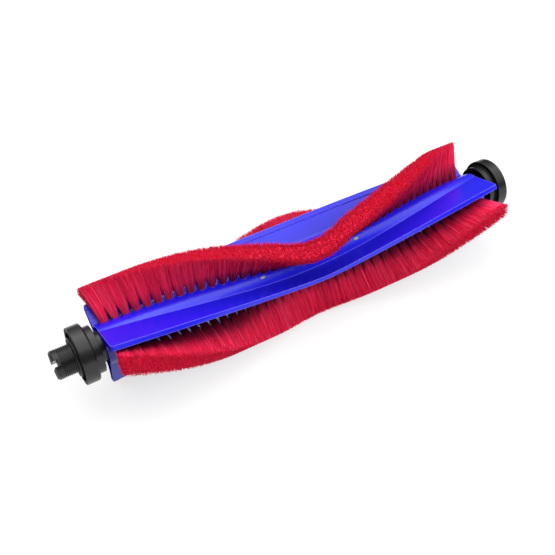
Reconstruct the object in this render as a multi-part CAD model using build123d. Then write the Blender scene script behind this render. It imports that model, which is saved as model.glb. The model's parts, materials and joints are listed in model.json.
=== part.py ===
from build123d import *
import math
import os

# Roller brush of a vacuum floor head, in millimetres.
# The roller's axis is X, +Z is up, and the roller lies as it comes to rest on its bristles.

# Core: a round hub with three fins, upright in the middle and leaning over the hub at both ends.
# Angles are about the axis: a fin's edge, the root of its leading face and that of its back face
# each follow a chevron of their own.
CORE_LENGTH = 186.0
CORE_RADIUS = 8.2
BLADE_COUNT = 3
FIN_RADIUS = 18.8
FIN_TIP_THICKNESS = 1.3
FIN_SWEEP = 23.0
FIN_NOSE = 8.0
FACE_ROOT_ANGLE = 0.0
FACE_ROOT_SWEEP = 73.0
BACK_ROOT_ANGLE = -15.0
BACK_ROOT_SWEEP = 42.0
ROOT_NOSE = 30.0
BACK_FILLET = 2.0
FIN_CORNER = 0.9
FIN_SECTIONS = 13
LIP_HEIGHT = 2.2
LIP_STEP = 0.35

# Tufts: three rows in a deep chevron, each tuft folded over an anchor in a blind hole
TUFTS_PER_ROW = 40
LEFT_MARGIN = 4.6
RIGHT_MARGIN = 8.0
MIDDLE_FIN_ANGLE = 37.6
END_FIN_ANGLE = 17.2
TUFT_DIAMETER = 3.0
TUFT_NOSE = 13.4
TUFT_TIP_RADIUS = 24.6
TUFT_TIP_WIDTH = 8.0
TUFT_STEM_HEIGHT = 1.5
TUFT_SPREAD_HEIGHT = 5.5
TUFT_GAP = 0.12
LEFT_LEAN = 2.0
RIGHT_LEAN = 5.5
LEAN_POWER = 5
TUFT_SIDES = 8
HOLE_DEPTH = 3.6
ANCHOR_HEIGHT = 1.2
ANCHOR_THICKNESS = 0.4

# Bearing end: guard cup on the core's end, sleeve turning on a steel pin
PIN_DIAMETER = 5.0
PIN_SEAT_DEPTH = 25.0
NECK_LENGTH = 2.2
NECK_RADIUS = 6.4
SPIGOT_DEPTH = 1.5
SKIRT_LENGTH = 3.3
SKIRT_RADIUS = 9.8
RIM_LENGTH = 5.5
RIM_RADIUS = 12.0
GUARD_WALL = 1.5
SHOULDER_FILLET = 0.8
EDGE_FILLET = 0.3
WASHER_RADIUS = 6.0
WASHER_THICKNESS = 0.6
SLEEVE_RADIUS = 6.0
SLEEVE_REACH = 9.1
SLEEVE_FLANGE_RADIUS = 8.1
SLEEVE_FLANGE_REACH = 0.9
SLEEVE_FLANGE_THICKNESS = 2.2
SLEEVE_CHAMFER = 0.5
SLOT_WIDTH = 2.6
SLOT_DEPTH = 2.1
SLOT_ANGLE = -45.6
BUSH_RADIUS = 4.0
BUSH_LENGTH = 6.0
RING_RADIUS = 3.6
RING_THICKNESS = 0.8
RING_GROOVE = 0.5
PIN_END_LENGTH = 1.2
PIN_END_GAP = 0.6

# Drive end: cap keyed into the core, with a socket for the drive shaft
CAP_GAP = 2.0
CAP_SKIRT_LENGTH = 3.6
CAP_SKIRT_RADIUS = 10.2
CAP_RIM_LENGTH = 5.1
CAP_WALL = 1.5
CAP_WEB = 1.8
KEY_WALL = 0.6
KEY_LENGTH = 10.0
HUB_RADIUS = 6.8
SOCKET_ACROSS_FLATS = 7.0
SOCKET_DEPTH = 8.0
PILOT_RADIUS = 4.5
PILOT_DEPTH = 2.0

# Fits
SEAT_CLEARANCE = 0.02
RUNNING_CLEARANCE = 0.04
THRUST_CLEARANCE = 0.05
CUT_MARGIN = 1.0

# Stations along the axis, from the sleeve's nose to the cap's outer face
OVERALL_LENGTH = (
    SLEEVE_REACH + RIM_LENGTH + SKIRT_LENGTH + NECK_LENGTH
    + CORE_LENGTH + CAP_GAP + CAP_SKIRT_LENGTH + CAP_RIM_LENGTH
)
SLEEVE_NOSE_X = -OVERALL_LENGTH / 2
GUARD_MOUTH_X = SLEEVE_NOSE_X + SLEEVE_REACH
GUARD_STEP_X = GUARD_MOUTH_X + RIM_LENGTH
SKIRT_END_X = GUARD_STEP_X + SKIRT_LENGTH
CORE_LEFT_X = SKIRT_END_X + NECK_LENGTH
CORE_MIDDLE_X = CORE_LEFT_X + CORE_LENGTH / 2
CORE_RIGHT_X = CORE_LEFT_X + CORE_LENGTH
CAP_MOUTH_X = CORE_RIGHT_X + CAP_GAP
CAP_STEP_X = CAP_MOUTH_X + CAP_SKIRT_LENGTH
CAP_END_X = CAP_STEP_X + CAP_RIM_LENGTH
GUARD_WEB_X = GUARD_STEP_X
WASHER_FRONT_X = GUARD_WEB_X - WASHER_THICKNESS
SLEEVE_BACK_X = WASHER_FRONT_X - THRUST_CLEARANCE
BUSH_FRONT_X = SLEEVE_BACK_X - BUSH_LENGTH
RING_FRONT_X = BUSH_FRONT_X - THRUST_CLEARANCE - RING_THICKNESS
PIN_END_X = RING_FRONT_X - PIN_END_LENGTH
BORE_END_X = PIN_END_X - PIN_END_GAP

# Turned about its axis so that it lies on the middle of one row and an end of the next
BLADE_SPACING = 360.0 / BLADE_COUNT
TUFT_SWEEP = BLADE_SPACING + FIN_SWEEP - MIDDLE_FIN_ANGLE - END_FIN_ANGLE
FLOOR_ANGLE = -90.0
TOUCH_ANGLE = (BLADE_SPACING - TUFT_SWEEP) / 2
FIRST_ROW_ANGLE = FLOOR_ANGLE + TOUCH_ANGLE
PIN_RADIUS = PIN_DIAMETER / 2
TUFT_RADIUS = TUFT_DIAMETER / 2
HOLE_FLOOR_RADIUS = CORE_RADIUS - HOLE_DEPTH
ROW_START = LEFT_MARGIN - CORE_LENGTH / 2
ROW_END = CORE_LENGTH / 2 - RIGHT_MARGIN
TUFT_PITCH = (ROW_END - ROW_START) / (TUFTS_PER_ROW - 1)
KEY_SIDE = math.sqrt(2) * (HOLE_FLOOR_RADIUS - KEY_WALL)


def radial(angle):
    """Outward direction at an angle that starts at the front (-Y) and grows upwards."""
    turn = math.radians(angle)
    return Vector(0, -math.cos(turn), math.sin(turn))


def chevron(offset, half_length, sweep, nose):
    """Angle gained at a distance from the middle: straight arms joined by a rounded nose."""
    gained = math.hypot(offset, nose) - nose
    full = math.hypot(half_length, nose) - nose
    return sweep * gained / full


def turned(*points):
    """Solid of revolution about the roller's axis from (x, radius) points."""
    return revolve(Plane.XY * Polygon(*points, align=None), Axis.X)


def ring(start, end, outer, inner):
    return turned((start, inner), (end, inner), (end, outer), (start, outer))


def rod(start, end, radius):
    return turned((start, 0), (end, 0), (end, radius), (start, radius))


def hoops(body, x, radius):
    """The round edges of a body at a station and radius."""
    return [
        edge
        for edge in body.edges().filter_by(GeomType.CIRCLE)
        if math.isclose(edge.arc_center.X, x, abs_tol=0.01)
        and math.isclose(edge.radius, radius, abs_tol=0.01)
    ]


def tuft_offsets():
    """Where a row's tufts sit along the roller, from its middle."""
    return [ROW_START + TUFT_PITCH * number for number in range(TUFTS_PER_ROW)]


def tuft_place(row, offset):
    """A tuft's plane: origin on the axis, Z outwards, X along the roller."""
    angle = FIRST_ROW_ANGLE + BLADE_SPACING * row
    angle += chevron(offset, ROW_START, TUFT_SWEEP, TUFT_NOSE)
    return Plane(origin=(CORE_MIDDLE_X + offset, 0, 0), x_dir=(1, 0, 0), z_dir=radial(angle))


def tuft_pattern(shape):
    """A copy of the shape at every tuft of every row."""
    return [
        tuft_place(row, offset) * shape
        for row in range(BLADE_COUNT)
        for offset in tuft_offsets()
    ]


def polar(radius, angle):
    """Point of a section at an angle that grows as the blade angles do."""
    turn = math.radians(angle)
    return Vector(radius * math.cos(turn), -radius * math.sin(turn))


def arc_about(centre, start, end):
    """The shorter arc from start to end round a centre."""
    radius = (start - centre).length
    middle = centre + ((start + end) * 0.5 - centre).normalized() * radius
    return ThreePointArc(start, middle, end)


def root_fillet(root, tip):
    """Where a fillet meets the back face that runs from root to tip, its centre and the hub."""
    flank = (tip - root).normalized()
    normal = Vector(-flank.Y, flank.X)
    base = root + normal * BACK_FILLET
    along = base.dot(flank)
    blend = CORE_RADIUS + BACK_FILLET
    centre = base + flank * (math.sqrt(along**2 - base.length**2 + blend**2) - along)
    return centre - normal * BACK_FILLET, centre, centre * (CORE_RADIUS / blend)


def core_section(offset):
    """The core's section at a distance from the middle, with a raised lip on each fin's back."""
    half = CORE_LENGTH / 2
    tip = chevron(offset, half, FIN_SWEEP, FIN_NOSE)
    face = FACE_ROOT_ANGLE + chevron(offset, half, FACE_ROOT_SWEEP, ROOT_NOSE)
    back = BACK_ROOT_ANGLE + chevron(offset, half, BACK_ROOT_SWEEP, ROOT_NOSE)
    outward = polar(1, tip)
    sideways = Vector(-outward.Y, outward.X)
    outer = FIN_RADIUS + CUT_MARGIN
    face_tip = outward * outer - sideways * FIN_TIP_THICKNESS / 2
    back_tip = outward * outer + sideways * FIN_TIP_THICKNESS / 2
    face_root = polar(CORE_RADIUS, face)
    back_start, centre, on_hub = root_fillet(polar(CORE_RADIUS, back), back_tip)
    flank = (back_tip - back_start).normalized()
    lip_root = back_tip - flank * (LIP_HEIGHT + CUT_MARGIN)
    lip = sideways * LIP_STEP
    edge = Polyline(
        back_start,
        lip_root - flank * LIP_STEP,
        lip_root + lip,
        back_tip + lip,
        face_tip,
        face_root,
    )
    before_hub = face_root.rotate(Axis.Z, BLADE_SPACING)
    blade = [
        *arc_about(Vector(0, 0), before_hub, on_hub).edges(),
        *arc_about(centre, on_hub, back_start).edges(),
        *edge.edges(),
    ]
    turns = [Rot(0, 0, -BLADE_SPACING * number) for number in range(BLADE_COUNT)]
    return make_face([turn * side for turn in turns for side in blade])


def brush_core():
    outward = radial(FIRST_ROW_ANGLE - MIDDLE_FIN_ANGLE)
    sections = []
    for number in range(FIN_SECTIONS):
        offset = CORE_LENGTH * (number / (FIN_SECTIONS - 1) - 0.5)
        place = Plane(origin=(CORE_MIDDLE_X + offset, 0, 0), x_dir=outward, z_dir=(1, 0, 0))
        sections.append(place * core_section(offset))
    core = loft(sections)
    envelope = rod(CORE_LEFT_X, CORE_RIGHT_X, FIN_RADIUS)
    envelope = fillet(envelope.edges().filter_by(GeomType.CIRCLE), FIN_CORNER)
    core &= envelope
    drill_length = HOLE_DEPTH + BACK_FILLET
    drill = Pos(0, 0, HOLE_FLOOR_RADIUS + drill_length / 2) * Cylinder(
        TUFT_RADIUS + SEAT_CLEARANCE, drill_length
    )
    holes = tuft_pattern(drill)
    pin_bore = rod(
        CORE_LEFT_X - CUT_MARGIN, CORE_LEFT_X + PIN_SEAT_DEPTH, PIN_RADIUS + SEAT_CLEARANCE
    )
    recess = rod(
        CORE_LEFT_X - CUT_MARGIN, CORE_LEFT_X + SPIGOT_DEPTH, NECK_RADIUS + SEAT_CLEARANCE
    )
    key_side = KEY_SIDE + 2 * SEAT_CLEARANCE
    key_way = Pos(CORE_RIGHT_X - KEY_LENGTH / 2, 0, 0) * Box(KEY_LENGTH, key_side, key_side)
    return core - holes - pin_bore - recess - key_way


def tuft(lean):
    """One tuft along +Z from its anchor, spreading to meet its neighbours; lean moves its tip."""
    corner = math.cos(math.pi / TUFT_SIDES)
    half_x = (TUFT_PITCH - TUFT_GAP) / 2 / corner
    half_y = TUFT_TIP_WIDTH / 2 / corner
    spread_y = TUFT_RADIUS + (half_y - TUFT_RADIUS) / 2
    levels = [
        (HOLE_FLOOR_RADIUS + ANCHOR_HEIGHT, TUFT_RADIUS, TUFT_RADIUS, 0),
        (CORE_RADIUS + TUFT_STEM_HEIGHT, TUFT_RADIUS, TUFT_RADIUS, 0),
        (CORE_RADIUS + TUFT_SPREAD_HEIGHT, half_x, spread_y, lean / 3),
        (TUFT_TIP_RADIUS, half_x, half_y, lean),
    ]
    turns = [math.radians(360.0 * (side + 0.5) / TUFT_SIDES) for side in range(TUFT_SIDES)]
    sections = []
    for height, reach_x, reach_y, shift in levels:
        corners = [
            (shift + reach_x * math.cos(turn), reach_y * math.sin(turn)) for turn in turns
        ]
        sections.append(Pos(0, 0, height) * Polygon(*corners, align=None))
    return loft(sections, ruled=True)


def tuft_lean(offset):
    """How far a tuft's tip leans along the roller, more and more towards the nearer end."""
    if offset < 0:
        return -LEFT_LEAN * (offset / ROW_START) ** LEAN_POWER
    return RIGHT_LEAN * (offset / ROW_END) ** LEAN_POWER


def bristle_row(row):
    return [tuft_place(row, offset) * tuft(tuft_lean(offset)) for offset in tuft_offsets()]


def tuft_anchors():
    anchor = Pos(0, 0, HOLE_FLOOR_RADIUS + ANCHOR_HEIGHT / 2) * Box(
        ANCHOR_THICKNESS, TUFT_DIAMETER - TUFT_GAP, ANCHOR_HEIGHT
    )
    return tuft_pattern(anchor)


def axle_pin():
    pin = rod(PIN_END_X, CORE_LEFT_X + PIN_SEAT_DEPTH, PIN_RADIUS)
    groove = ring(
        RING_FRONT_X - SEAT_CLEARANCE, RING_FRONT_X + RING_THICKNESS + SEAT_CLEARANCE,
        PIN_RADIUS + CUT_MARGIN, PIN_RADIUS - RING_GROOVE,
    )
    tip = pin.edges().filter_by(GeomType.CIRCLE).group_by(Axis.X)[0]
    return chamfer(tip, RING_GROOVE) - groove


def retaining_ring():
    """Push-on ring in the pin's groove, open on one side."""
    plate = ring(
        RING_FRONT_X, RING_FRONT_X + RING_THICKNESS,
        RING_RADIUS, PIN_RADIUS - RING_GROOVE + SEAT_CLEARANCE,
    )
    opening = Pos(RING_FRONT_X + RING_THICKNESS / 2, 0, -RING_RADIUS) * Box(
        RING_THICKNESS + CUT_MARGIN, PIN_RADIUS, 2 * RING_RADIUS
    )
    return plate - opening


def bearing_guard():
    """Stepped cup: rim open outwards, skirt open towards the core, hub seated in the core."""
    bore = PIN_RADIUS + SEAT_CLEARANCE
    web_end = GUARD_WEB_X + GUARD_WALL
    hub_end = CORE_LEFT_X + SPIGOT_DEPTH
    cup = turned(
        (GUARD_WEB_X, bore),
        (GUARD_WEB_X, RIM_RADIUS - GUARD_WALL),
        (GUARD_MOUTH_X, RIM_RADIUS - GUARD_WALL),
        (GUARD_MOUTH_X, RIM_RADIUS),
        (GUARD_STEP_X, RIM_RADIUS),
        (GUARD_STEP_X + GUARD_WALL / 3, SKIRT_RADIUS),
        (SKIRT_END_X, SKIRT_RADIUS),
        (SKIRT_END_X, SKIRT_RADIUS - GUARD_WALL),
        (web_end, SKIRT_RADIUS - GUARD_WALL),
        (web_end, NECK_RADIUS),
        (hub_end, NECK_RADIUS),
        (hub_end, bore),
    )
    cup = fillet(hoops(cup, GUARD_STEP_X, RIM_RADIUS), SHOULDER_FILLET)
    cup = fillet(hoops(cup, GUARD_MOUTH_X, RIM_RADIUS), EDGE_FILLET)
    return fillet(hoops(cup, SKIRT_END_X, SKIRT_RADIUS), EDGE_FILLET)


def thrust_washer():
    return ring(WASHER_FRONT_X, GUARD_WEB_X, WASHER_RADIUS, PIN_RADIUS + SEAT_CLEARANCE)


def bearing_sleeve():
    """Round stub with a base flange, a blind bore for the bush and a slot across its nose."""
    flange_front = GUARD_MOUTH_X - SLEEVE_FLANGE_REACH
    flange_back = flange_front + SLEEVE_FLANGE_THICKNESS
    bore = BUSH_RADIUS + SEAT_CLEARANCE
    body = turned(
        (SLEEVE_NOSE_X, 0),
        (SLEEVE_NOSE_X, SLEEVE_RADIUS - SLEEVE_CHAMFER),
        (SLEEVE_NOSE_X + SLEEVE_CHAMFER, SLEEVE_RADIUS),
        (flange_front, SLEEVE_RADIUS),
        (flange_front, SLEEVE_FLANGE_RADIUS),
        (flange_back, SLEEVE_FLANGE_RADIUS),
        (flange_back, SLEEVE_RADIUS),
        (SLEEVE_BACK_X, SLEEVE_RADIUS),
        (SLEEVE_BACK_X, bore),
        (BORE_END_X, bore),
        (BORE_END_X, 0),
    )
    slot = Pos(SLEEVE_NOSE_X, 0, 0) * Rot(SLOT_ANGLE, 0, 0) * Box(
        2 * SLOT_DEPTH, 2 * SLEEVE_RADIUS + CUT_MARGIN, SLOT_WIDTH
    )
    return body - slot


def bearing_bush():
    return ring(BUSH_FRONT_X, SLEEVE_BACK_X, BUSH_RADIUS, PIN_RADIUS + RUNNING_CLEARANCE)


def drive_cap():
    """Stepped cap: hub keyed into the core, skirt open towards it, socket in the outer face."""
    web_end = CAP_STEP_X + CAP_WEB
    body = turned(
        (CORE_RIGHT_X, 0),
        (CORE_RIGHT_X, HUB_RADIUS),
        (CAP_STEP_X, HUB_RADIUS),
        (CAP_STEP_X, CAP_SKIRT_RADIUS - CAP_WALL),
        (CAP_MOUTH_X, CAP_SKIRT_RADIUS - CAP_WALL),
        (CAP_MOUTH_X, CAP_SKIRT_RADIUS),
        (CAP_STEP_X, CAP_SKIRT_RADIUS),
        (CAP_STEP_X, RIM_RADIUS),
        (CAP_END_X, RIM_RADIUS),
        (CAP_END_X, RIM_RADIUS - CAP_WALL),
        (web_end, RIM_RADIUS - CAP_WALL),
        (web_end, HUB_RADIUS),
        (CAP_END_X, HUB_RADIUS),
        (CAP_END_X, 0),
    )
    body = fillet(hoops(body, CAP_END_X, RIM_RADIUS), SHOULDER_FILLET)
    body = fillet(hoops(body, CAP_STEP_X, RIM_RADIUS), EDGE_FILLET)
    key = Pos(CORE_RIGHT_X - KEY_LENGTH / 2, 0, 0) * Box(KEY_LENGTH, KEY_SIDE, KEY_SIDE)
    socket_plane = Plane(origin=(CAP_END_X, 0, 0), x_dir=(0, 1, 0), z_dir=(-1, 0, 0))
    hexagon = RegularPolygon(SOCKET_ACROSS_FLATS / 2, 6, major_radius=False)
    socket = extrude(socket_plane * hexagon, SOCKET_DEPTH)
    pilot = rod(CAP_END_X - PILOT_DEPTH, CAP_END_X + CUT_MARGIN, PILOT_RADIUS)
    return body + key - socket - pilot


os.makedirs("parts", exist_ok=True)
PARTS = {
    "brush_core": brush_core(),
    "tuft_anchors": Compound(children=tuft_anchors()),
    "axle_pin": axle_pin(),
    "retaining_ring": retaining_ring(),
    "bearing_guard": bearing_guard(),
    "thrust_washer": thrust_washer(),
    "bearing_sleeve": bearing_sleeve(),
    "bearing_bush": bearing_bush(),
    "drive_cap": drive_cap(),
}
for row in range(BLADE_COUNT):
    PARTS[f"bristle_row_{row + 1}"] = Compound(children=bristle_row(row))
for name, shape in PARTS.items():
    export_step(shape, f"parts/{name}.step")
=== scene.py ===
import json
import math

import bpy
import numpy as np
from mathutils import Matrix, Vector


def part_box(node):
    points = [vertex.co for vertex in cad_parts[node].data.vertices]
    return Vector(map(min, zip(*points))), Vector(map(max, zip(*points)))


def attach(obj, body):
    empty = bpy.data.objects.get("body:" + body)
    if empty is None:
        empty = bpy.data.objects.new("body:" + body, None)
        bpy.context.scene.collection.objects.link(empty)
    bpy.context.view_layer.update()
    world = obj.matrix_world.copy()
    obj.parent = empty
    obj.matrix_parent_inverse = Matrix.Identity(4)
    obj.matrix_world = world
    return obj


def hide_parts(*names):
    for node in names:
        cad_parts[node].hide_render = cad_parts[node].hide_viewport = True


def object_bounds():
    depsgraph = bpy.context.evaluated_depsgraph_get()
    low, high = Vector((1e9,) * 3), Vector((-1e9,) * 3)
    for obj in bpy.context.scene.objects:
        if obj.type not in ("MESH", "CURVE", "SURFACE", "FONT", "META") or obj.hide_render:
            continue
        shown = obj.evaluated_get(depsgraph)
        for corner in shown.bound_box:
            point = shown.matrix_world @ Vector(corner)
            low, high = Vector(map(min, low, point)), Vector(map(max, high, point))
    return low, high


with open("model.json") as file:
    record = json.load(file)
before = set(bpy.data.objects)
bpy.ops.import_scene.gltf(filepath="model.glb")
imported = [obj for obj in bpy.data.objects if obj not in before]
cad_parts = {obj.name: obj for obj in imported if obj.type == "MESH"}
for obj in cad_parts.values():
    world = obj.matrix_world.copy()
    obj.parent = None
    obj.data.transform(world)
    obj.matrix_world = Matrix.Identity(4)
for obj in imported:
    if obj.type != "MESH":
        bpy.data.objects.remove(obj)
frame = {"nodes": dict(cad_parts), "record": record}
CAD_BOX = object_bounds()
MM = 0.001

# Roller: places read from the frame, the chevron of the tufts as in the part's source.
# Rows are counted from 0: the lower front one, the upper front one and the back one.
CORE_LOW, CORE_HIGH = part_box("brush_core")
CORE_MIDDLE_X = (CORE_LOW.x + CORE_HIGH.x) / 2
CORE_HALF_LENGTH = (CORE_HIGH.x - CORE_LOW.x) / 2
CORE_RADIUS = 8.2 * MM
ROW_COUNT = 3
ROW_SPACING = 360.0 / ROW_COUNT
ROW_SWEEP = 88.2
ROW_NOSE = 13.4 * MM
FIRST_ROW_ANGLE = -90.0 + (ROW_SPACING - ROW_SWEEP) / 2
TUFTS_PER_ROW = 40
LEFT_MARGIN = 4.6 * MM
RIGHT_MARGIN = 8.0 * MM
ROW_START = LEFT_MARGIN - CORE_HALF_LENGTH
ROW_END = CORE_HALF_LENGTH - RIGHT_MARGIN
TUFT_PITCH = (ROW_END - ROW_START) / (TUFTS_PER_ROW - 1)
TIP_RADIUS = 24.6 * MM
ROOT_RADIUS = CORE_RADIUS - 0.5 * MM

# Tufts: share of the length, half spread along and across the row, squareness
TUFT_LEVELS = (
    (0.0, 1.5 * MM, 1.5 * MM, 0.0),
    (0.2, 1.8 * MM, 1.75 * MM, 0.3),
    (0.42, 2.25 * MM, 2.4 * MM, 0.95),
    (1.0, 2.28 * MM, 4.1 * MM, 1.0),
)
# Outward half spread of a row's first tuft, and of the last tuft of each row
FIRST_SPREAD = 1.7 * MM
LAST_SPREADS = (1.7 * MM, 2.3 * MM, 1.7 * MM)
PIECES_PER_ROW = 2
BRISTLE_SMOOTH = 60.0

# Filaments: some run up the two faces of a row, and short ones make up its tips
SIDE_FILAMENTS = 190
SIDE_SHARES = (0.0, 0.42, 1.0)
SIDE_BAND = 0.86
FACE_ARC = 0.56
TIP_FILAMENTS = 441
TIP_SHARES = (0.9, 1.0)
TIP_RAGGED = 0.42 * MM
FILAMENT_RADIUS = 0.1 * MM
FILAMENT_TAPER = 0.85
FILAMENT_SIDES = 3
STRAY = 0.55 * MM

# Dense middle of a tuft: share of the length, share of the spread along and across the row
HEART_RINGS = (
    (0.0, 1.0, 1.0), (0.2, 1.0, 0.97), (0.42, 1.0, 0.96), (0.72, 1.0, 0.94), (0.86, 1.0, 0.9),
    (0.92, 1.0, 0.7),
)
HEART_SIDES = 56
HEART_SHADE_TOP = 0.8

# How far tips lean along the roller at the ends of each row, and how late a tuft turns aside
LEFT_LEANS = (2.4 * MM, 2.2 * MM, 0.0)
RIGHT_LEANS = (5.0 * MM, 3.4 * MM, 5.0 * MM)
LEAN_POWER = 5
TURN_POWER = 1.5

# Tables by row: places along the core in mm, and values there
# How far use has bent the tips across their row, in mm
BENDS = {
    0: ((50.0, 70.0, 87.0), (0.0, -0.6, -1.8)),
    1: (
        (-88.0, -70.0, -45.0, -20.0, -8.0, 4.0, 14.0, 26.0, 38.0, 50.0, 64.0, 76.0, 88.0),
        (0.0, 0.6, 1.2, 0.3, -0.8, 0.0, 0.9, -0.6, -2.2, -3.8, -4.4, -2.6, -0.4),
    ),
    2: (
        (-88.0, -70.0, -40.0, -20.0, 0.0, 20.0, 40.0),
        (-3.0, -1.0, 0.0, -1.4, -1.8, -1.4, 0.0),
    ),
}
# The share by which the upper side of the tips is drawn in
PINCHES = {0: ((64.0, 80.0, 87.0), (0.0, 0.4, 0.8))}
# How much less painted shade a tuft gets towards its root than its row's material paints, or more below 0
SHADE_LIFTS = {
    0: (
        (-74.0, -58.0, -41.0, -24.0, -8.0, 9.0, 26.0, 44.0, 62.0),
        (-0.05, -0.02, 0.02, 0.25, 0.42, 0.2, 0.24, 0.08, 0.12),
    ),
    1: ((-88.0, -60.0, -40.0), (0.25, 0.15, 0.0)),
}
# The row on whose roots its material paints the front fin's shadow
FIN_SHADOW_ROW = 0

# Witness marks of the mould's gates in the valleys of the core, longer along the roller
GATE_OFFSET = 23.2 * MM
GATE_ANGLE = -4.3
GATE_RADIUS = 0.55 * MM
GATE_BLUR = 0.15
GATE_SQUEEZE = (0.5, 1.0, 1.0)
GATE_COLOUR = (0.34, 0.40, 0.36)

# Noise: its detail, and between which values a pattern goes from dark to light
NOISE_DETAIL = 3.0
PLASTIC_BAND = (0.3, 0.7)
RING_BAND = (0.35, 0.65)
FLOOR_BAND = (0.4, 0.6)

# Plastic: scales of its patterns, and where end faces and the painted edge highlights begin and are full
CLOUD_SCALE = 40.0
CLOUD_STRETCH = (0.3, 1.0, 1.0)
GLOSS_SCALE = 120.0
GRAIN_SCALE = 2500.0
GRAIN_HEIGHT = 0.02 * MM
BEVEL_SAMPLES = 8
END_NORMAL = (0.7, 0.95)
END_ROUGHNESS = 0.6
EDGE_HIGHLIGHT_TURN = (0.985, 0.88)

# Metal: rings left by turning
RING_SCALE = 900.0
RING_STRETCH = (1.0, 0.04, 0.04)
RING_STRENGTH = 0.15
RING_HEIGHT = 0.05 * MM

# Nylon: colours of single filaments, and the painted shade that darkens them towards the root, a little
# blue there as painted light bounced off the core
NYLON_TINTS = (
    (0.0, (0.96, 0.018, 0.095)),
    (0.6, (0.99, 0.028, 0.125)),
    (1.0, (1.00, 0.080, 0.190)),
)
# Painted shade between the tufts: darker and a little bluer towards the root
PAINTED_ROOT_SHADE = (
    (0.0, (0.26, 0.25, 0.34)),
    (0.22, (0.55, 0.53, 0.60)),
    (0.5, (0.96, 0.96, 0.96)),
    (1.0, (1.0, 1.0, 1.0)),
)
# Painted shadow of the front fin over the roots of the row below it
PAINTED_FIN_SHADOW = (
    (0.0, (0.04, 0.04, 0.05)),
    (0.2, (0.13, 0.12, 0.14)),
    (0.4, (0.42, 0.41, 0.43)),
    (0.6, (0.90, 0.90, 0.90)),
    (0.8, (1.0, 1.0, 1.0)),
)
NYLON_ROUGHNESS = 0.45
NYLON_GLOSS = 0.25
NYLON_TRANSLUCENCY = 0.3

# Bearing sleeve: ribbed barrel with a slotted nose
SLEEVE_LOW, SLEEVE_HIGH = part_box("bearing_sleeve")
GUARD_MOUTH_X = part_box("bearing_guard")[0].x
SLEEVE_RADIUS = 6.0 * MM
FLANGE_RADIUS = SLEEVE_HIGH.z
FLANGE_REACH = 0.9 * MM
FLANGE_THICKNESS = 2.2 * MM
FLANGE_CHAMFER = 0.25 * MM
SLOT_DEPTH = 2.1 * MM
SLOT_WIDTH = 2.6 * MM
SLOT_ANGLE = 45.6
NOSE_CHAMFER = 0.5 * MM
NOSE_STEPS = 33
PLAIN_NOSE = 2.7 * MM
RIB_PITCH = 0.72 * MM
RIB_DEPTH = 0.4 * MM
# One groove and rib: share of the pitch, share of the depth
RIB_FORM = ((0.18, 1.0), (0.42, 1.0), (0.60, 0.0), (1.0, 0.0))
LATHE_STEPS = 96
SLEEVE_SMOOTH = 25.0

# Floor: how far it reaches each way in metres, its greys for rays that show it and for the others
FLOOR_REACH = 12.0
FLOOR_GRAIN = 4.0
FLOOR_SEEN = (0.34, 0.35)
FLOOR_UNSEEN = (0.20, 0.22)
FLOOR_GLOW = 0.68
FLOOR_ROUGHNESS = 0.8

# Light: levels of the softbox by the rise in degrees from the front and along the roller, and how
# far it is turned from the roller's axis
SOFTBOX_RISE = (
    (43.0, 0.0), (51.0, 0.3), (57.0, 0.6), (77.0, 0.66), (95.0, 0.82), (109.0, 1.0),
    (122.0, 0.92), (133.0, 0.5), (146.0, 0.22), (160.0, 0.1), (178.0, 0.0),
)
SOFTBOX_TURN = 0.7
SOFTBOX_ALONG = ((-0.75, 0.0), (-0.3, 0.8), (0.1, 1.0), (0.35, 0.85), (0.6, 0.6), (0.9, 0.35))
SOFTBOX_STRENGTH = 3.0
ROOM_STRENGTH = 0.1
FILL_FROM = (0.15, -0.82, 0.55)
FILL_DISTANCE = 0.8
FILL_SIZE = 0.5
FILL_WATTS = 3.8

# Camera: where the photograph was taken from, round the roller's axis and along it
VIEW_SIDE = -0.1405
VIEW_DISTANCE = 0.3350
VIEW_RISE = 39.6
VIEW_YAW = 20.66
VIEW_PITCH = -0.34
VIEW_ROLL = -22.79
LENS_MM = 54.63
SENSOR_MM = 36.0
CLIP_START = 10 * MM

# Keeps divisions clear of 0
TINY = 1e-9

rng = np.random.default_rng(7)


def radial(angle):
    """Outward unit vectors at angles in degrees that start at the front (-Y) and grow upwards."""
    turn = np.radians(angle)
    return np.stack([np.zeros_like(turn), -np.cos(turn), np.sin(turn)], axis=-1)


def tangent(angle):
    """Unit vectors square to the radial ones, in the sense in which the angles grow."""
    turn = np.radians(angle)
    return np.stack([np.zeros_like(turn), np.sin(turn), np.cos(turn)], axis=-1)


def row_angle(row, offset):
    """The angle of a row's chevron, with a rounded nose, at offsets from the core's middle."""
    full = math.hypot(ROW_START, ROW_NOSE) - ROW_NOSE
    start = FIRST_ROW_ANGLE + ROW_SPACING * row
    return start + ROW_SWEEP * (np.hypot(offset, ROW_NOSE) - ROW_NOSE) / full


def tuft_lean(row, offset):
    """How far tips lean along the roller, more and more towards the nearer end."""
    right = RIGHT_LEANS[row] * (np.maximum(offset, 0.0) / ROW_END) ** LEAN_POWER
    left = LEFT_LEANS[row] * (np.minimum(offset, 0.0) / ROW_START) ** LEAN_POWER
    return right - left


def by_place(table, row, offset):
    """A table's values for a row at offsets from the core's middle, 0 for a row it leaves out."""
    if row not in table:
        return np.zeros_like(offset)
    places, values = table[row]
    return np.interp(offset / MM, places, values)


# Shader helpers

def grey(level):
    return (level, level, level)


def new_material(name):
    material = bpy.data.materials.new(name)
    material.use_nodes = True
    tree = material.node_tree
    return material, tree, tree.nodes["Principled BSDF"]


def add_node(tree, kind, **values):
    """A new node with values for its inputs or its own settings."""
    node = tree.nodes.new(kind)
    for key, value in values.items():
        if key in node.inputs:
            node.inputs[key].default_value = value
        else:
            setattr(node, key, value)
    return node


def feed(tree, node, values):
    """Fills a node's inputs in order, with other nodes' outputs or with plain values."""
    for socket, value in zip(node.inputs, values):
        if isinstance(value, bpy.types.NodeSocket):
            tree.links.new(value, socket)
        else:
            socket.default_value = value


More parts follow.
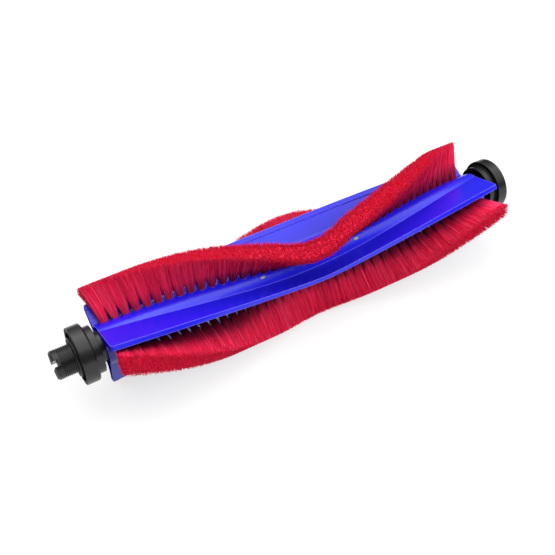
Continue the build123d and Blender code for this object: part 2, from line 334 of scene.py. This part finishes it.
def calculate(tree, operation, *values):
    """The result of a calculation with numbers."""
    node = add_node(tree, "ShaderNodeMath", operation=operation)
    feed(tree, node, values)
    return node.outputs["Value"]


def calculate_vector(tree, operation, result, *values):
    """The named result, Vector or Value, of a calculation with vectors."""
    node = add_node(tree, "ShaderNodeVectorMath", operation=operation)
    feed(tree, node, values)
    return node.outputs[result]


def ramp(tree, source, stops):
    """Colours by a value from 0 to 1."""
    node = tree.nodes.new("ShaderNodeValToRGB")
    elements = node.color_ramp.elements
    while len(elements) < len(stops):
        elements.new(0.5)
    for element, (place, colour) in zip(elements, stops):
        element.position = place
        element.color = (*colour, 1.0)
    tree.links.new(source, node.inputs["Fac"])
    return node.outputs["Color"]


def two_tone(tree, noise, band, dark, light):
    """Dark where the noise is below the band, light above it, and a mix in between."""
    return ramp(tree, noise, list(zip(band, (dark, light))))


def blend(tree, share, low, high):
    """Low where the share is 0, high where it is 1."""
    node = tree.nodes.new("ShaderNodeMapRange")
    node.inputs["To Min"].default_value = low
    node.inputs["To Max"].default_value = high
    tree.links.new(share, node.inputs["Value"])
    return node.outputs["Result"]


def share_between(tree, value, start, full):
    """0 at the start value, 1 at the full one, and in between a share."""
    node = tree.nodes.new("ShaderNodeMapRange")
    node.inputs["From Min"].default_value = start
    node.inputs["From Max"].default_value = full
    tree.links.new(value, node.inputs["Value"])
    return node.outputs["Result"]


def mix_colours(tree, share, first, second, blend_type="MIX"):
    """Mixes the second colour into the first by a share, each an output or a plain value."""
    node = tree.nodes.new("ShaderNodeMix")
    node.data_type = "RGBA"
    node.blend_type = blend_type
    for name, value in (("Factor", share), ("A", first), ("B", second)):
        if isinstance(value, bpy.types.NodeSocket):
            tree.links.new(value, node.inputs[name])
        else:
            node.inputs[name].default_value = value
    return node.outputs["Result"]


def object_noise(tree, scale, stretch=(1.0, 1.0, 1.0)):
    """Noise that stays with the object, finer along an axis with a larger stretch."""
    place = tree.nodes.new("ShaderNodeTexCoord")
    mapping = add_node(tree, "ShaderNodeMapping", Scale=stretch)
    noise = add_node(tree, "ShaderNodeTexNoise", Scale=scale, Detail=NOISE_DETAIL)
    tree.links.new(place.outputs["Object"], mapping.inputs["Vector"])
    tree.links.new(mapping.outputs["Vector"], noise.inputs["Vector"])
    return noise.outputs["Fac"]


def bump(tree, shader, height, strength, distance, normal=None):
    node = add_node(tree, "ShaderNodeBump", Strength=strength, Distance=distance)
    tree.links.new(height, node.inputs["Height"])
    if normal is not None:
        tree.links.new(normal, node.inputs["Normal"])
    tree.links.new(node.outputs["Normal"], shader.inputs["Normal"])


def rounded_normal(tree, radius):
    """The normal as if sharp edges were rounded."""
    return add_node(tree, "ShaderNodeBevel", Radius=radius, samples=BEVEL_SAMPLES).outputs["Normal"]


# Materials

def gate_marks(tree, colour):
    """The colour with the pale witness marks of the mould's gates in the core's valleys."""
    place = tree.nodes.new("ShaderNodeTexCoord").outputs["Object"]
    for row in range(ROW_COUNT):
        for side in (-1, 1):
            centre = CORE_RADIUS * radial(FIRST_ROW_ANGLE + ROW_SPACING * row + GATE_ANGLE)
            centre[0] = CORE_MIDDLE_X + side * GATE_OFFSET
            away = calculate_vector(tree, "SUBTRACT", "Vector", place, centre)
            oval = calculate_vector(tree, "MULTIPLY", "Vector", away, GATE_SQUEEZE)
            distance = calculate_vector(tree, "LENGTH", "Value", oval)
            share = share_between(
                tree, distance, GATE_RADIUS * (1 + GATE_BLUR), GATE_RADIUS * (1 - GATE_BLUR)
            )
            colour = mix_colours(tree, share, colour, (*GATE_COLOUR, 1.0))
    return colour


def end_faces(tree):
    """1 on faces square to the roller's axis, 0 on the others."""
    geometry = tree.nodes.new("ShaderNodeNewGeometry")
    split = tree.nodes.new("ShaderNodeSeparateXYZ")
    tree.links.new(geometry.outputs["Normal"], split.inputs["Vector"])
    return share_between(tree, calculate(tree, "ABSOLUTE", split.outputs["X"]), *END_NORMAL)


def painted_edge_highlights(tree, colour, width, edge_highlight_colour):
    """The colour with painted highlights: paler lines along sharp edges, where a rounded normal turns away.
    """
    normal = tree.nodes.new("ShaderNodeNewGeometry").outputs["Normal"]
    turned = calculate_vector(tree, "DOT_PRODUCT", "Value", normal, rounded_normal(tree, width))
    return mix_colours(tree, share_between(tree, turned, *EDGE_HIGHLIGHT_TURN), colour, (*edge_highlight_colour, 1.0))


def moulded_plastic(name, dark, light, roughness, gloss, end_gloss, grain, edge=0.0, edge_highlight_colour=None):
    """Moulded plastic: faint clouds, uneven gloss, fine grain, softened edges, duller end faces.

    A plastic with an edge highlight colour is the core's: it gets painted highlights along its sharp edges,
    and the gate marks too.
    """
    material, tree, shader = new_material(name)
    clouds = object_noise(tree, CLOUD_SCALE, CLOUD_STRETCH)
    colour = two_tone(tree, clouds, PLASTIC_BAND, dark, light)
    if edge_highlight_colour:
        # Painted highlights: paler lines along the core's sharp edges.
        colour = painted_edge_highlights(tree, gate_marks(tree, colour), 2 * edge, edge_highlight_colour)
    tree.links.new(colour, shader.inputs["Base Color"])
    ends = end_faces(tree)
    low, high = roughness
    uneven = two_tone(tree, object_noise(tree, GLOSS_SCALE), PLASTIC_BAND, grey(low), grey(high))
    dull = calculate(tree, "MAXIMUM", uneven, blend(tree, ends, 0.0, END_ROUGHNESS))
    tree.links.new(dull, shader.inputs["Roughness"])
    tree.links.new(blend(tree, ends, gloss, end_gloss), shader.inputs["Specular IOR Level"])
    normal = rounded_normal(tree, edge) if edge else None
    bump(tree, shader, object_noise(tree, GRAIN_SCALE), grain, GRAIN_HEIGHT, normal)
    return material


def turned_metal(name, dark, light, roughness):
    """Turned metal: fine rings round the roller's axis."""
    material, tree, shader = new_material(name)
    rings = object_noise(tree, RING_SCALE, RING_STRETCH)
    tree.links.new(two_tone(tree, rings, RING_BAND, dark, light), shader.inputs["Base Color"])
    shader.inputs["Metallic"].default_value = 1.0
    shader.inputs["Roughness"].default_value = roughness
    bump(tree, shader, rings, RING_STRENGTH, RING_HEIGHT)
    return material


def nylon_filament(name, shade_depths):
    """Red nylon: each filament a little different, with painted shade towards its root, letting light
    through.
    """
    material, tree, shader = new_material(name)
    shade, along, thin = (
        add_node(tree, "ShaderNodeAttribute", attribute_name=attribute).outputs["Fac"]
        for attribute in ("shade", "along", "thin")
    )
    tint = ramp(tree, shade, NYLON_TINTS)
    # Painted shade: the tint darkens towards the root by the along value.
    colour = mix_colours(tree, 1.0, tint, ramp(tree, along, shade_depths), "MULTIPLY")
    tree.links.new(colour, shader.inputs["Base Color"])
    shader.inputs["Roughness"].default_value = NYLON_ROUGHNESS
    shader.inputs["Specular IOR Level"].default_value = NYLON_GLOSS
    through = tree.nodes.new("ShaderNodeBsdfTranslucent")
    tree.links.new(colour, through.inputs["Color"])
    both = tree.nodes.new("ShaderNodeMixShader")
    feed(tree, both, (
        blend(tree, thin, 0.0, NYLON_TRANSLUCENCY), shader.outputs["BSDF"], through.outputs["BSDF"]
    ))
    tree.links.new(both.outputs["Shader"], tree.nodes["Material Output"].inputs["Surface"])
    return material


MATERIALS = {
    # The core's edge highlight colour paints highlights along its sharp edges.
    "core_plastic": moulded_plastic(
        "core_plastic", dark=(0.010, 0.008, 0.74), light=(0.013, 0.011, 0.80), roughness=(0.21, 0.27),
        gloss=0.62, end_gloss=0.0, grain=0.04, edge=0.22 * MM, edge_highlight_colour=(0.24, 0.20, 0.92),
    ),
    "black_plastic": moulded_plastic(
        "black_plastic", dark=grey(0.008), light=grey(0.012), roughness=(0.24, 0.30),
        gloss=0.52, end_gloss=0.15, grain=0.08, edge=0.25 * MM,
    ),
    # A darker, duller copy of the black plastic: painted shade for the cap's dark recessed inside.
    "shaded_cap_plastic": moulded_plastic(
        "shaded_cap_plastic", dark=grey(0.006), light=grey(0.010), roughness=(0.24, 0.30),
        gloss=0.48, end_gloss=0.02, grain=0.08, edge=0.25 * MM,
    ),
    "ribbed_plastic": moulded_plastic(
        "ribbed_plastic", dark=grey(0.009), light=grey(0.014), roughness=(0.26, 0.34),
        gloss=0.4, end_gloss=0.1, grain=0.04,
    ),
    "washer_nylon": moulded_plastic(
        "washer_nylon", dark=(0.60, 0.59, 0.55), light=(0.72, 0.71, 0.67), roughness=(0.40, 0.55),
        gloss=0.5, end_gloss=0.3, grain=0.1,
    ),
    "bristle_nylon": nylon_filament("bristle_nylon", PAINTED_ROOT_SHADE),
    "fin_shadow_nylon": nylon_filament("fin_shadow_nylon", PAINTED_FIN_SHADOW),
    "pin_steel": turned_metal("pin_steel", (0.50, 0.50, 0.52), (0.62, 0.62, 0.64), 0.28),
    "bush_bronze": turned_metal("bush_bronze", (0.45, 0.29, 0.14), (0.60, 0.41, 0.21), 0.42),
    "anchor_wire": turned_metal("anchor_wire", (0.55, 0.42, 0.20), (0.68, 0.53, 0.28), 0.35),
}


# Mesh helpers

def mesh_piece(name, points, faces, smooth_angle, material):
    """A new piece with a material, smooth up to an angle between its faces."""
    mesh = bpy.data.meshes.new(name)
    mesh.from_pydata(points, [], faces)
    mesh.update()
    mesh.shade_smooth()
    mesh.set_sharp_from_angle(angle=math.radians(smooth_angle))
    piece = bpy.data.objects.new(name, mesh)
    bpy.context.scene.collection.objects.link(piece)
    mesh.materials.append(MATERIALS[material])
    return piece


def point_attribute(piece, name, values):
    attribute = piece.data.attributes.new(name, "FLOAT", "POINT")
    attribute.data.foreach_set("value", np.asarray(values, np.float32))


def grid_faces(count, rows, sides, closed_tip):
    """Faces of many tubes at once: count tubes of rows rings with the given number of sides."""
    ring = np.arange(sides)
    following = (ring + 1) % sides
    levels = np.arange(rows - 1)[:, None] * sides
    quads = np.stack([
        levels + ring, levels + following, levels + sides + following, levels + sides + ring
    ], axis=-1).reshape(-1, 4)
    starts = np.arange(count)[:, None, None] * rows * sides
    faces = (quads[None] + starts).reshape(-1, 4).tolist()
    if closed_tip:
        tips = np.arange((rows - 1) * sides, rows * sides)
        faces += (tips[None] + starts[:, 0]).tolist()
    return faces


def moved_on(faces, count):
    """Faces whose points follow count other points."""
    return [[corner + count for corner in face] for face in faces]


def full_turn(steps):
    return 2 * math.pi * np.arange(steps) / steps


def tubes(paths, radii, sides):
    """Points of many tubes: paths is (count, rows, 3), radii is (rows,)."""
    direction = paths[:, -1] - paths[:, 0]
    direction /= np.linalg.norm(direction, axis=1, keepdims=True)
    side = np.cross(direction, (1.0, 0.0, 0.0))
    side /= np.linalg.norm(side, axis=1, keepdims=True)
    other = np.cross(direction, side)
    turn = rng.uniform(0, 2 * math.pi, len(paths))[:, None] + full_turn(sides)
    rim = np.cos(turn)[..., None] * side[:, None] + np.sin(turn)[..., None] * other[:, None]
    return paths[:, :, None] + radii[None, :, None, None] * rim[:, None]


# Bristle rows

def disc_rim(count, whole):
    """Points near the rim of the unit disc: all round it, or only across the row on both sides."""
    reach = rng.uniform(SIDE_BAND, 1.0, count)
    turn = (np.arange(count) + rng.uniform(0, 1, count)) * 2 * math.pi / count
    if not whole:
        gap = (1 - FACE_ARC) / 2 * math.pi
        turn = turn * FACE_ARC + np.where(turn > math.pi, 3 * gap, gap)
    return reach * np.cos(turn), reach * np.sin(turn)


def disc_fill(count):
    """Points of the unit disc that are spread evenly once it is squared."""
    side = round(math.sqrt(count))
    across, up = np.meshgrid(np.arange(side), np.arange(side))
    across = (across.ravel() + rng.uniform(0, 1, side * side)) * 2 / side - 1
    up = (up.ravel() + rng.uniform(0, 1, side * side)) * 2 / side - 1
    shrink = np.maximum(np.abs(across), np.abs(up)) / np.maximum(np.hypot(across, up), TINY)
    return across * shrink, up * shrink


def squared(u, v):
    """Moves points of the unit disc out to fill the unit square."""
    reach = np.hypot(u, v)
    stretch = reach / np.maximum(np.maximum(np.abs(u), np.abs(v)), TINY)
    return u * stretch, v * stretch


class Tuft:
    """Where the parts of one tuft run: from its hole in the core out to its tips."""

    def __init__(self, row, offset):
        self.row = row
        self.offset = offset
        self.first = abs(offset - ROW_START) < TUFT_PITCH / 2
        self.last = abs(offset - ROW_END) < TUFT_PITCH / 2

    def points(self, u, v, share, reach, stray_u=0.0, stray_v=0.0):
        """Points at a share of the tuft's length, for places on the unit disc."""
        shares, *spreads = zip(*TUFT_LEVELS)
        half_u, half_v, square = (np.interp(share, shares, spread) for spread in spreads)
        square_u, square_v = squared(u, v)
        place_u = half_u * (u + (square_u - u) * square) + stray_u * share
        place_v = half_v * (v + (square_v - v) * square) + stray_v * share
        if self.first:
            place_u = np.where(place_u < 0, place_u * FIRST_SPREAD / half_u, place_u)
        if self.last:
            place_u = np.where(place_u > 0, place_u * LAST_SPREADS[self.row] / half_u, place_u)
        offset = self.offset + place_u
        root_angle = row_angle(self.row, self.offset)
        angle = root_angle + share * (row_angle(self.row, offset) - root_angle)
        aside = share**TURN_POWER
        pinch = by_place(PINCHES, self.row, offset) * aside
        place_v = np.where(place_v > 0, place_v * (1 - pinch), place_v)
        place_v = place_v + by_place(BENDS, self.row, offset) * MM * aside
        along = CORE_MIDDLE_X + offset + tuft_lean(self.row, offset) * aside
        height = ROOT_RADIUS + (reach - ROOT_RADIUS) * share - place_v**2 / (2 * TIP_RADIUS) * share
        return (
            along[:, None] * np.array((1.0, 0.0, 0.0))
            + height[:, None] * radial(angle)
            + place_v[:, None] * tangent(angle)
        )

    def filaments(self, places, shares):
        """Paths of filaments at places on the unit disc, between shares of the tuft's length."""
        u, v = places
        count = len(u)
        stray_u = rng.normal(0, STRAY, count)
        stray_v = rng.normal(0, STRAY, count)
        reach = TIP_RADIUS - rng.exponential(TIP_RAGGED, count)
        rows = [self.points(u, v, share, reach, stray_u, stray_v) for share in shares]
        return np.stack(rows, axis=1)

    def side_filaments(self):
        return self.filaments(disc_rim(SIDE_FILAMENTS, self.first or self.last), SIDE_SHARES)

    def tip_filaments(self):
        return self.filaments(disc_fill(TIP_FILAMENTS), TIP_SHARES)

    def heart(self):
        """Rings of the dense middle of the tuft, which ends just below the filament tips."""
        turn = full_turn(HEART_SIDES)
        u, v = np.cos(turn), np.sin(turn)
        reach = np.full(HEART_SIDES, TIP_RADIUS)
        rings = [self.points(fill_u * u, fill_v * v, share, reach) for share, fill_u, fill_v in HEART_RINGS]
        return np.stack(rings)


def fibres(paths, shares, shade_lifts):
    """Points and faces of filaments along their paths, and their shade, along and thin values; along sets
    how much painted shade they get towards the root.
    """
    rows = len(shares)
    radii = FILAMENT_RADIUS * np.linspace(1.0, FILAMENT_TAPER, rows)
    points = tubes(paths, radii, FILAMENT_SIDES).reshape(-1, 3)
    faces = grid_faces(len(paths), rows, FILAMENT_SIDES, True)
    shade = np.repeat(rng.uniform(0, 1, len(paths)), rows * FILAMENT_SIDES)
    shade_depths = np.add.outer(np.repeat(shade_lifts, len(paths) // len(shade_lifts)), shares)
    return points, faces, shade, np.repeat(shade_depths.ravel(), FILAMENT_SIDES), np.ones(len(points))


def hearts(tufts, shade_lifts):
    """The same for the dense middles of tufts, which let no light through."""
    points = np.stack([tuft.heart() for tuft in tufts]).reshape(-1, 3)
    faces = grid_faces(len(tufts), len(HEART_RINGS), HEART_SIDES, True)
    streaks = rng.uniform(0, HEART_SHADE_TOP, (len(tufts), 1, HEART_SIDES))
    shade = np.repeat(streaks, len(HEART_RINGS), axis=1).ravel()
    shade_depths = np.add.outer(shade_lifts, [ring[0] for ring in HEART_RINGS])
    return points, faces, shade, np.repeat(shade_depths.ravel(), HEART_SIDES), np.zeros(len(points))


def bristle_piece(name, row, offsets):
    """The tufts of one stretch of a row, joined in one piece."""
    tufts = [Tuft(row, offset) for offset in offsets]
    shade_lifts = by_place(SHADE_LIFTS, row, offsets)
    side_paths = np.concatenate([tuft.side_filaments() for tuft in tufts])
    tip_paths = np.concatenate([tuft.tip_filaments() for tuft in tufts])
    parts = [
        fibres(side_paths, SIDE_SHARES, shade_lifts),
        fibres(tip_paths, TIP_SHARES, shade_lifts),
        hearts(tufts, shade_lifts),
    ]
    points, face_lists, shade, along, thin = zip(*parts)
    faces = []
    count = 0
    for part_points, part_faces in zip(points, face_lists):
        faces += moved_on(part_faces, count)
        count += len(part_points)
    # The row under the front fin gets a material with the fin's shadow painted on its roots.
    look = "fin_shadow_nylon" if row == FIN_SHADOW_ROW else "bristle_nylon"
    piece = mesh_piece(
        name, np.concatenate(points).tolist(), faces, BRISTLE_SMOOTH, look
    )
    point_attribute(piece, "shade", np.concatenate(shade))
    # The along values set the painted shade towards each tuft's root.
    point_attribute(piece, "along", np.concatenate(along))
    point_attribute(piece, "thin", np.concatenate(thin))
    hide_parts(f"bristle_row_{row + 1}")
    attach(piece, "roller")


def bristle_rows():
    tuft_offsets = ROW_START + TUFT_PITCH * np.arange(TUFTS_PER_ROW)
    for row in range(ROW_COUNT):
        for number, offsets in enumerate(np.array_split(tuft_offsets, PIECES_PER_ROW)):
            bristle_piece(f"bristles_{row + 1}_{number + 1}", row, offsets)


# Bearing sleeve

def lathe(profile):
    """Points and faces of a solid of revolution about the roller's axis from (x, radius) pairs."""
    turn = full_turn(LATHE_STEPS)
    profile = np.asarray(profile)
    points = np.stack([
        np.repeat(profile[:, :1], LATHE_STEPS, axis=1),
        profile[:, 1:] * np.cos(turn),
        profile[:, 1:] * np.sin(turn),
    ], axis=-1)
    faces = grid_faces(1, len(profile), LATHE_STEPS, True)
    faces.append(list(range(LATHE_STEPS))[::-1])
    return points.reshape(-1, 3).tolist(), faces


def half_moon(side):
    """One half of the slotted nose: a circular segment with a chamfered front edge."""
    low = math.asin(SLOT_WIDTH / 2 / SLEEVE_RADIUS)
    turn = np.linspace(low, math.pi - low, NOSE_STEPS)
    front = SLEEVE_LOW.x
    rings = []
    for x, inset in ((front, NOSE_CHAMFER), (front + NOSE_CHAMFER, 0.0), (front + SLOT_DEPTH, 0.0)):
        across = (SLEEVE_RADIUS - inset) * np.cos(turn)
        up = np.maximum((SLEEVE_RADIUS - inset) * np.sin(turn), SLOT_WIDTH / 2)
        rings.append(np.stack([np.full_like(turn, x), across, side * up], axis=-1))
    faces = grid_faces(1, len(rings), NOSE_STEPS, False)
    faces.append(list(range(NOSE_STEPS))[::-1])
    return np.concatenate(rings), faces


def sleeve_profile():
    """The barrel from the bottom of the slot, its ribs, its flange and its hidden end."""
    flange_front = GUARD_MOUTH_X - FLANGE_REACH
    flange_back = flange_front + FLANGE_THICKNESS
    x = SLEEVE_LOW.x + PLAIN_NOSE
    profile = [(SLEEVE_LOW.x + SLOT_DEPTH, SLEEVE_RADIUS), (x, SLEEVE_RADIUS)]
    while x + RIB_PITCH < flange_front:
        profile += [(x + place * RIB_PITCH, SLEEVE_RADIUS - depth * RIB_DEPTH) for place, depth in RIB_FORM]
        x += RIB_PITCH
    return profile + [
        (flange_front, SLEEVE_RADIUS),
        (flange_front, FLANGE_RADIUS - FLANGE_CHAMFER),
        (flange_front + FLANGE_CHAMFER, FLANGE_RADIUS),
        (flange_back - FLANGE_CHAMFER, FLANGE_RADIUS),
        (flange_back, FLANGE_RADIUS - FLANGE_CHAMFER),
        (flange_back, SLEEVE_RADIUS),
        (SLEEVE_HIGH.x, SLEEVE_RADIUS),
    ]


def bearing_sleeve():
    """The sleeve with its ribs and the two halves of its slotted nose."""
    points, faces = lathe(sleeve_profile())
    turn = Matrix.Rotation(math.radians(-SLOT_ANGLE), 4, "X")
    for side in (1, -1):
        nose_points, nose_faces = half_moon(side)
        faces += moved_on(nose_faces, len(points))
        points += [tuple(turn @ Vector(point)) for point in nose_points]
    piece = mesh_piece(
        "ribbed_sleeve", points, faces, SLEEVE_SMOOTH, "ribbed_plastic"
    )
    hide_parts("bearing_sleeve")
    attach(piece, "bearing")


# Solids shown as they are

def dress_nodes():
    """Gives each solid the material of its slot, and the cap a darker, duller copy of the black plastic:
    painted shade for its recessed inside.
    """
    looks = {subpart["node"]: subpart["material_slot"] for subpart in frame["record"]["subparts"]}
    looks["drive_cap"] = "shaded_cap_plastic"
    for name, node in frame["nodes"].items():
        node.data.materials.clear()
        node.data.materials.append(MATERIALS[looks[name]])


# Stage

def white_rays(tree):
    """1 for rays that show the backdrop (camera, glossy and transmission), 0 for the rest."""
    rays = tree.nodes.new("ShaderNodeLightPath").outputs
    seen = calculate(tree, "MAXIMUM", rays["Is Camera Ray"], rays["Is Glossy Ray"])
    return calculate(tree, "MAXIMUM", seen, rays["Is Transmission Ray"])


def white_floor():
    """White to the rays that show it, with the roller's shadow, and a mid grey to the others."""
    corners = FLOOR_REACH * np.array(((-1, -1), (1, -1), (1, 1), (-1, 1)))
    mesh = bpy.data.meshes.new("floor")
    mesh.from_pydata([(x, y, CAD_BOX[0][2]) for x, y in corners], [], [(0, 1, 2, 3)])
    floor = bpy.data.objects.new("floor", mesh)
    bpy.context.scene.collection.objects.link(floor)
    material, tree, shader = new_material("floor")
    share = white_rays(tree)
    grain = object_noise(tree, FLOOR_GRAIN)
    unseen, seen = (
        two_tone(tree, grain, FLOOR_BAND, grey(low), grey(high))
        for low, high in (FLOOR_UNSEEN, FLOOR_SEEN)
    )
    tree.links.new(mix_colours(tree, share, unseen, seen), shader.inputs["Base Color"])
    shader.inputs["Roughness"].default_value = FLOOR_ROUGHNESS
    shader.inputs["Specular IOR Level"].default_value = 0.0
    shader.inputs["Emission Color"].default_value = (1.0, 1.0, 1.0, 1.0)
    tree.links.new(blend(tree, share, 0.0, FLOOR_GLOW), shader.inputs["Emission Strength"])
    mesh.materials.append(material)


def overhead_softbox():
    """The world's light by direction: a long softbox over the roller in a dim room."""
    world = bpy.data.worlds.new("studio")
    bpy.context.scene.world = world
    world.use_nodes = True
    tree = world.node_tree
    split = tree.nodes.new("ShaderNodeSeparateXYZ")
    tree.links.new(tree.nodes.new("ShaderNodeTexCoord").outputs["Generated"], split.inputs["Vector"])
    x, y, z = split.outputs
    rise = calculate(tree, "ARCTAN2", z, calculate(tree, "MULTIPLY", y, -1.0))
    turned = calculate(tree, "MULTIPLY_ADD", x, SOFTBOX_TURN, rise)
    over = ramp(tree, share_between(tree, turned, 0.0, math.pi), [
        (degrees / 180.0, grey(level)) for degrees, level in SOFTBOX_RISE
    ])
    along = ramp(tree, share_between(tree, x, -1.0, 1.0), [
        ((place + 1.0) / 2.0, grey(level * SOFTBOX_STRENGTH)) for place, level in SOFTBOX_ALONG
    ])
    background = tree.nodes["Background"]
    background.inputs["Color"].default_value = (1.0, 1.0, 1.0, 1.0)
    strength = calculate(tree, "MULTIPLY_ADD", over, along, ROOM_STRENGTH)
    tree.links.new(strength, background.inputs["Strength"])


def fill_lamp():
    """A soft lamp from the front, which shows in no reflection."""
    data = bpy.data.lights.new("fill", "AREA")
    data.size = FILL_SIZE
    data.energy = FILL_WATTS
    fill = bpy.data.objects.new("fill", data)
    away = Vector(FILL_FROM).normalized()
    place = Vector((CORE_MIDDLE_X, 0.0, 0.0)) + FILL_DISTANCE * away
    fill.matrix_world = Matrix.Translation(place) @ away.to_track_quat("Z", "Y").to_matrix().to_4x4()
    fill.visible_glossy = False
    bpy.context.scene.collection.objects.link(fill)


def camera():
    """Stands in front of the roller's axis, raised round it, and looks along yaw, pitch and roll."""
    yaw, pitch, roll = (math.radians(angle) for angle in (VIEW_YAW, VIEW_PITCH, VIEW_ROLL))
    forward = Vector((
        math.sin(yaw) * math.cos(pitch), math.cos(yaw) * math.cos(pitch), math.sin(pitch)
    ))
    right = Vector((math.cos(yaw), -math.sin(yaw), 0.0))
    up = right.cross(forward)
    rolled = Matrix.Rotation(-roll, 3, forward)
    right = rolled @ right
    up = rolled @ up
    raised = Matrix.Rotation(-math.radians(VIEW_RISE), 3, "X")
    axes = Matrix((raised @ right, raised @ up, raised @ -forward)).transposed()
    data = bpy.data.cameras.new("camera")
    data.lens = LENS_MM
    data.sensor_width = SENSOR_MM
    data.clip_start = CLIP_START
    holder = bpy.data.objects.new("camera", data)
    place = raised @ Vector((0.0, -VIEW_DISTANCE, 0.0)) + Vector((CORE_MIDDLE_X + VIEW_SIDE, 0.0, 0.0))
    holder.matrix_world = Matrix.Translation(place) @ axes.to_4x4()
    bpy.context.scene.collection.objects.link(holder)
    bpy.context.scene.camera = holder


dress_nodes()
bristle_rows()
bearing_sleeve()
white_floor()
overhead_softbox()
fill_lamp()
camera()
bpy.context.scene.view_settings.view_transform = "Standard"
